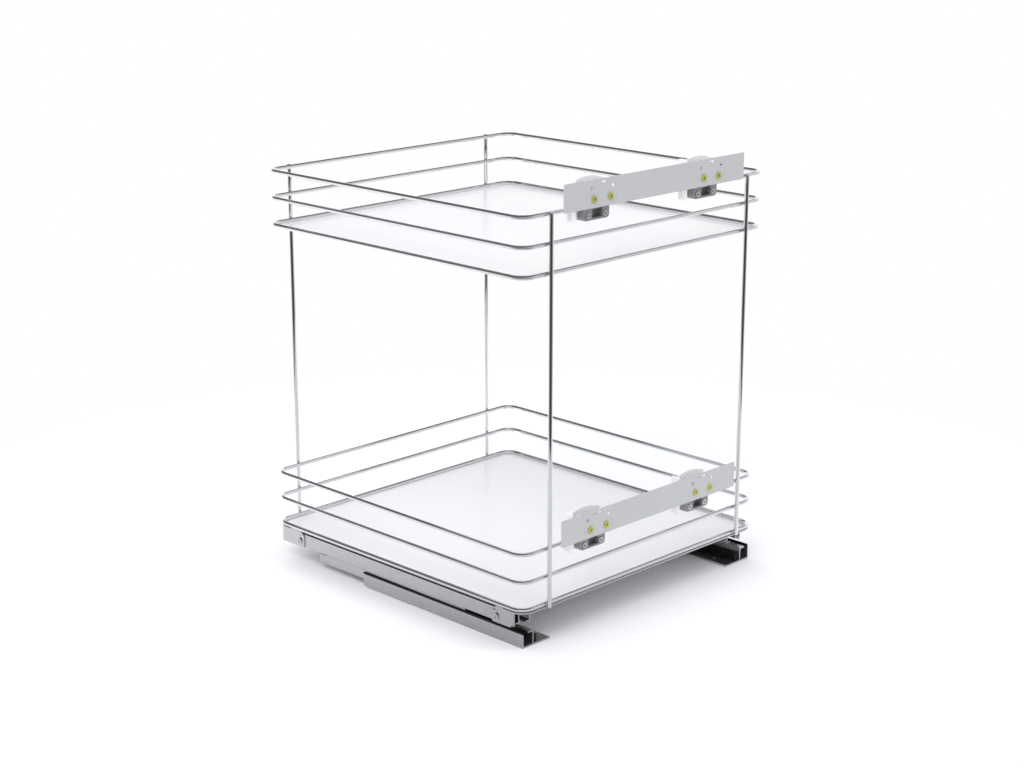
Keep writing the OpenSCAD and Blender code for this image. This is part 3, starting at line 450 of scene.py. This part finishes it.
# a flat sheet: rounded rectangles stacked as a profile round the edge, closed by a top and a bottom face
def shelfSheet(name, node):
    low, high = (np.array(corner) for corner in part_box(node))
    centre = (low + high) / 2
    half = (high - low) / 2
    e = sheetValues["edge"]
    bend = np.radians(np.linspace(0.0, 90.0, sheetValues["bendSteps"]))
    lower = np.stack([-e + e * np.sin(bend), low[2] + e - e * np.cos(bend)], axis=1)
    upper = np.stack([-e + e * np.cos(bend), high[2] - e + e * np.sin(bend)], axis=1)
    inner = -e - sheetValues["flatBand"]
    profile = np.concatenate([[[inner, low[2]]], lower, upper, [[inner, high[2]]]])
    cornerRadius, cornerSteps = sheetValues["cornerRadius"], sheetValues["cornerSteps"]
    path, outward = ringPath(half[0], half[1], cornerRadius, cornerSteps, sheetValues["sideSteps"])
    points = np.zeros((len(profile), len(path), 3))
    points[..., :2] = path[None] + outward[None] * profile[:, None, :1] + centre[:2]
    points[..., 2] = profile[:, None, 1]
    faces = gridFaces(len(profile), len(path), False, True)[:, ::-1].tolist()
    count = len(path)
    last = (len(profile) - 1) * count
    faces.append(list(range(count))[::-1])
    faces.append(list(range(last, last + count)))
    piece = addPiece(name, points, faces, "white_sheet", nodeBody[node], [node])
    piece.data.set_sharp_from_angle(angle=math.radians(sheetValues["sharpAngle"]))
    return piece


shelfSheet("upperShelfSheet", "upper_shelf")
shelfSheet("lowerShelfSheet", "lower_shelf")
print("shelves made")


# sheet metal and castings with eased edges, each with its edge width in metres
easedNodes = {
    "upper_front_plate": 0.0003, "lower_front_plate": 0.0003,
    "carrier_upper_left": 0.00035, "carrier_upper_right": 0.00035,
    "carrier_lower_left": 0.00035, "carrier_lower_right": 0.00035,
    "clamp_upper_left": 0.0006, "clamp_upper_right": 0.0006,
    "clamp_lower_left": 0.0006, "clamp_lower_right": 0.0006,
    "cabinet_rail_left": 0.0003, "cabinet_rail_right": 0.0003,
    "intermediate_rail_left": 0.0003, "intermediate_rail_right": 0.0003,
    "drawer_rail_left": 0.0003, "drawer_rail_right": 0.0003,
    "front_bracket_left": 0.0003, "front_bracket_right": 0.0003,
    "rear_bracket_left": 0.0003, "rear_bracket_right": 0.0003,
    "front_base_plate": 0.0003, "rear_base_plate": 0.0003,
    "damper_housing_left": 0.0004, "damper_housing_right": 0.0004,
    "bracket_screws": 0.0005, "clamp_screws": 0.0004,
}
for node in frame["nodes"]:
    if node.startswith(("side_screw", "height_screw")):
        easedNodes[node] = 0.0003
easedValues = {"merge": 2e-6, "flatAngle": 0.6, "sharpAngle": 32, "segments": 2}  # metres and degrees


def camelName(node):
    first, *rest = node.split("_")
    return first + "".join(word.capitalize() for word in rest)


# a merged copy of the CAD solid with its edges eased, which then stands for it
def easedCopy(node, width):
    mesh = bpy.data.meshes.new(camelName(node))
    work = bmesh.new()
    work.from_mesh(frame["nodes"][node].data)
    bmesh.ops.remove_doubles(work, verts=work.verts, dist=easedValues["merge"])
    flatAngle, sharpAngle = math.radians(easedValues["flatAngle"]), math.radians(easedValues["sharpAngle"])
    bmesh.ops.dissolve_limit(work, angle_limit=flatAngle, verts=work.verts, edges=work.edges)
    work.to_mesh(mesh)
    work.free()
    mesh.polygons.foreach_set("use_smooth", [True] * len(mesh.polygons))
    mesh.set_sharp_from_angle(angle=sharpAngle)
    mesh.materials.clear()
    mesh.materials.append(materials[nodeSlot[node]])
    piece = bpy.data.objects.new(camelName(node), mesh)
    bpy.context.scene.collection.objects.link(piece)
    bevel = piece.modifiers.new("easedEdges", "BEVEL")
    bevel.width = width
    bevel.segments = easedValues["segments"]
    bevel.limit_method = "ANGLE"
    bevel.angle_limit = sharpAngle
    bevel.harden_normals = True
    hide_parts(node)
    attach(piece, nodeBody[node])
    return piece


for node, width in easedNodes.items():
    easedCopy(node, width)
print("eased pieces made:", len(easedNodes))


# painted shade: a black strip stands on the outer wall of each cabinet rail and fills the gap under the skirt,
# where there is only shadow
stripValues = {
    "thick": 0.0013, "inset": 0.0001, "high": 0.0029, "round": 0.0005,
    "wallTop": 0.018,  # metres above the floor
    "setback": 0.001,  # from the rail's front end
    "rows": 14, "bendSteps": 5, "sharpAngle": 60,
}


# a rounded rectangle in X and Z carried straight along Y, with closed ends
def shadeStrip(name, node, side, values):
    low, high = (np.array(corner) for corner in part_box(node))
    outer = (low[0] if side < 0 else high[0]) - side * values["inset"]
    r = values["round"]
    corners = []
    for angle, x, z in ((0.0, values["thick"] - r, values["high"] - r), (90.0, r, values["high"] - r),
                        (180.0, r, r), (270.0, values["thick"] - r, r)):
        bend = np.radians(np.linspace(angle, angle + 90.0, values["bendSteps"]))
        corners.append(np.stack([x + r * np.cos(bend), z + r * np.sin(bend)], axis=1))
    profile = np.concatenate(corners)
    y = np.linspace(low[1] + values["setback"], high[1], values["rows"])
    points = np.zeros((len(y), len(profile), 3))
    points[..., 0] = outer - side * profile[None, :, 0]
    points[..., 1] = y[:, None]
    points[..., 2] = values["wallTop"] + profile[None, :, 1]
    faces = gridFaces(len(y), len(profile), False, True)
    count = len(profile)
    faces = (faces if side < 0 else faces[:, ::-1]).tolist()
    ends = [list(range(count))[::-1], list(range((len(y) - 1) * count, len(y) * count))]
    faces += ends if side > 0 else [end[::-1] for end in ends]
    piece = addPiece(name, points, faces, "black_plastic", nodeBody[node])
    piece.data.set_sharp_from_angle(angle=math.radians(values["sharpAngle"]))
    return piece


# painted shade: these black strips stand in for the shadow inside the gap
shadeStrip("leftGuideStrip", "cabinet_rail_left", -1, stripValues)
shadeStrip("rightGuideStrip", "cabinet_rail_right", 1, stripValues)
print("guide strips made")


stageValues = {
    "radius": 1.05, "rings": 11, "around": 64,
    "below": 0.0002,  # metres under the runners
    "color": (0.98, 0.98, 0.98, 1.0), "roughness": 0.9, "specular": 0.1,
    "fadeFrom": 0.62, "fadeTo": 1.0,  # metres from the middle, over which it turns into the white backdrop
    "mirrored": (0.60, 0.60, 0.61, 1.0),  # painted shade: its darker colour in polished metal on the side towards the camera, for less light there
    "mirrorFade": (-0.35, 0.1),  # metres behind the middle, from the painted shade to the plain colour
    "ahead": (0.7095, 0.7047, 0.0),  # level direction from the camera to the object
}


# a round floor: radius grows along u, angle along v; it fades to the white of the backdrop for the camera, and
# in polished metal its camera side is drawn darker as painted shade
def makeFloor(values):
    u = np.linspace(0.0, 1.0, values["rings"] + 1)[1:]
    v = np.linspace(0.0, 2 * np.pi, values["around"], endpoint=False)
    points = np.zeros((len(u), len(v), 3))
    points[..., 0] = values["radius"] * u[:, None] * np.cos(v)
    points[..., 1] = values["radius"] * u[:, None] * np.sin(v)
    faces = gridFaces(len(u), len(v), False, True).tolist()
    faces.append(list(range(len(v))))
    mesh = bpy.data.meshes.new("studioFloor")
    mesh.from_pydata(points.reshape(-1, 3).tolist(), [], [list(map(int, f)) for f in faces])
    floor = bpy.data.objects.new("studioFloor", mesh)
    floor.location = (0.0, 0.0, -values["below"])
    bpy.context.scene.collection.objects.link(floor)
    material, tree, shader, coords = newMaterial("studioFloor", values["roughness"], 0.0)
    shader.inputs["Specular IOR Level"].default_value = values["specular"]
    rays = tree.nodes.new("ShaderNodeLightPath").outputs
    behind = tree.nodes.new("ShaderNodeVectorMath")
    behind.operation = "DOT_PRODUCT"
    behind.inputs[1].default_value = values["ahead"]
    tree.links.new(coords, behind.inputs[0])
    # painted shade: glossy rays see the floor darker on the side towards the camera
    mirrorShadeShare = rangeNode(tree, behind.outputs["Value"], *values["mirrorFade"], 1.0, 0.0)
    mirrorShadeShare = mathNode(tree, "MULTIPLY", mirrorShadeShare, rays["Is Glossy Ray"])
    tree.links.new(mixNode(tree, mirrorShadeShare, values["color"], values["mirrored"]), shader.inputs["Base Color"])
    length = tree.nodes.new("ShaderNodeVectorMath")
    length.operation = "LENGTH"
    tree.links.new(coords, length.inputs[0])
    fade = rangeNode(tree, length.outputs["Value"], values["fadeFrom"], values["fadeTo"], 0.0, 1.0)
    glow = tree.nodes.new("ShaderNodeEmission")
    glow.inputs["Color"].default_value = (1.0, 1.0, 1.0, 1.0)
    mix = tree.nodes.new("ShaderNodeMixShader")
    tree.links.new(mathNode(tree, "MULTIPLY", fade, rays["Is Camera Ray"]), mix.inputs[0])
    tree.links.new(shader.outputs[0], mix.inputs[1])
    tree.links.new(glow.outputs[0], mix.inputs[2])
    tree.links.new(mix.outputs[0], tree.nodes["Material Output"].inputs["Surface"])
    mesh.materials.append(material)
    return floor


worldValues = {
    "dome": (0.82, 0.83, 0.86, 1.0),  # light on matt surfaces
    "ahead": (0.7095, 0.7047),  # level direction from the camera to the object
    "edge": (0.36, 0.06, 0.27),  # top of the bright wall: middle height, rise behind and to the right
    "soft": 0.06,  # half the height over which the wall turns into the roof
    "roof": (0.13, 0.13, 0.132),
    "front": (-0.85, 0.1, 0.06, 1.0),  # the wall is dark round the camera and white from the sides backwards
    "frontTop": (-0.08, 0.06, 0.0, 1.0),  # that dark part ends at eye level
    "leastLevel": 0.0004,  # keeps the division safe straight up and down
    "right": 0.2,  # how much darker the wall on the right is
}


# white to the camera, an even dome to matt surfaces, and bright walls under a dark roof to polished metal
def makeWorld(values):
    world = bpy.data.worlds.new("studioWorld")
    bpy.context.scene.world = world
    world.use_nodes = True
    tree = world.node_tree
    tree.nodes.clear()
    path = tree.nodes.new("ShaderNodeLightPath")
    coords = tree.nodes.new("ShaderNodeTexCoord")
    parts = tree.nodes.new("ShaderNodeSeparateXYZ")
    tree.links.new(coords.outputs["Generated"], parts.inputs[0])
    x, y, z = parts.outputs
    level = mathNode(tree, "SUBTRACT", 1.0, mathNode(tree, "MULTIPLY", z, z))
    level = mathNode(tree, "SQRT", mathNode(tree, "MAXIMUM", level, values["leastLevel"]))
    ax, ay = values["ahead"]
    ahead = mathNode(tree, "ADD", mathNode(tree, "MULTIPLY", x, ax), mathNode(tree, "MULTIPLY", y, ay))
    ahead = mathNode(tree, "DIVIDE", ahead, level)
    right = mathNode(tree, "SUBTRACT", mathNode(tree, "MULTIPLY", x, ay), mathNode(tree, "MULTIPLY", y, ax))
    right = mathNode(tree, "DIVIDE", right, level)
    edge = mathNode(tree, "ADD", mathNode(tree, "MULTIPLY", ahead, values["edge"][1]), values["edge"][0])
    edge = mathNode(tree, "ADD", mathNode(tree, "MULTIPLY", right, values["edge"][2]), edge)
    over = mathNode(tree, "SUBTRACT", z, edge)
    wall = rangeNode(tree, over, -values["soft"], values["soft"], 1.0, 0.0)
    bright = rangeNode(tree, ahead, *values["front"])
    bright = mathNode(tree, "MAXIMUM", bright, rangeNode(tree, z, *values["frontTop"]))
    side = mathNode(tree, "MULTIPLY", mathNode(tree, "ADD", right, 1.0), values["right"])
    notAhead = mathNode(tree, "SUBTRACT", 1.0, mathNode(tree, "MAXIMUM", ahead, 0.0))
    kept = mathNode(tree, "SUBTRACT", 1.0, mathNode(tree, "MULTIPLY", side, notAhead))
    bright = mathNode(tree, "MULTIPLY", bright, kept)
    mirror = mixNode(tree, wall, values["roof"], bright)
    metal = mixNode(tree, path.outputs["Is Glossy Ray"], values["dome"], mirror)
    seen = mathNode(tree, "MAXIMUM", path.outputs["Is Camera Ray"], path.outputs["Is Transmission Ray"])
    colour = mixNode(tree, seen, metal, (1.0, 1.0, 1.0, 1.0))
    background = tree.nodes.new("ShaderNodeBackground")
    tree.links.new(colour, background.inputs["Color"])
    leave = tree.nodes.new("ShaderNodeOutputWorld")
    tree.links.new(background.outputs[0], leave.inputs["Surface"])


lampAim = (0.0, 0.0, 0.25)
lampValues = {
    "keyLamp": {"place": (-1.9, -0.6, 2.2), "size": 1.6, "power": 27.0},
    "fillLamp": {"place": (1.8, -1.6, 1.6), "size": 1.4, "power": 10.0},
    "backLamp": {"place": (0.6, 2.0, 2.2), "size": 1.6, "power": 14.0},
}


def makeLamp(name, values):
    data = bpy.data.lights.new(name, "AREA")
    data.shape = "SQUARE"
    data.size = values["size"]
    data.energy = values["power"]
    lamp = bpy.data.objects.new(name, data)
    lamp.location = values["place"]
    aim = Vector(lampAim) - Vector(values["place"])
    lamp.rotation_euler = aim.to_track_quat("-Z", "Y").to_euler()
    lamp.visible_glossy = False  # the wires mirror the walls alone
    bpy.context.scene.collection.objects.link(lamp)


makeFloor(stageValues)
makeWorld(worldValues)
for name, values in lampValues.items():
    makeLamp(name, values)
print("studio made")
